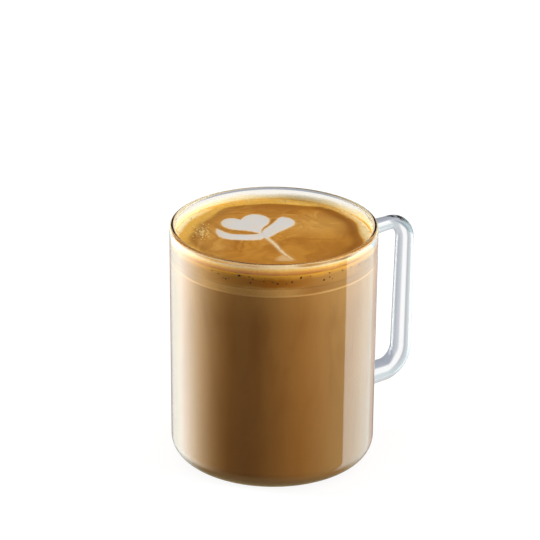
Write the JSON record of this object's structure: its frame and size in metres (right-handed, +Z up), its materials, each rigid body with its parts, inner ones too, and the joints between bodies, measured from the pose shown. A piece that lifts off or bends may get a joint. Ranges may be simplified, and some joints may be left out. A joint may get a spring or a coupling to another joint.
{
  "type": "glass mug of coffee drink with latte art",
  "caption": "Clear straight-sided glass mug with a glass rod handle, filled with milk coffee under a foam layer and crema, with a milk tulip poured on top.",
  "frame": {"origin": "centre of the mug's foot, on the surface that it stands on", "axes": "+Z up along the mug's axis, +X towards the handle, -Y towards the drinker's side of the tulip"},
  "size_m": [0.1102, 0.08, 0.095],
  "materials": {
    "clear_glass": "clear, smooth, fire-polished",
    "milk_coffee": "opaque milky brown liquid seen through glass",
    "milk_foam": "fine pale brown foam",
    "crema": "orange-brown crema with pale swirls, satin and slightly wet",
    "poured_milk": "smooth off-white milk foam"
  },
  "bodies": {
    "root": {"glass_mug": "clear_glass", "milk_coffee": "milk_coffee", "milk_foam": "milk_foam", "crema": "crema", "milk_tulip": "poured_milk"}
  },
  "joints": []
}
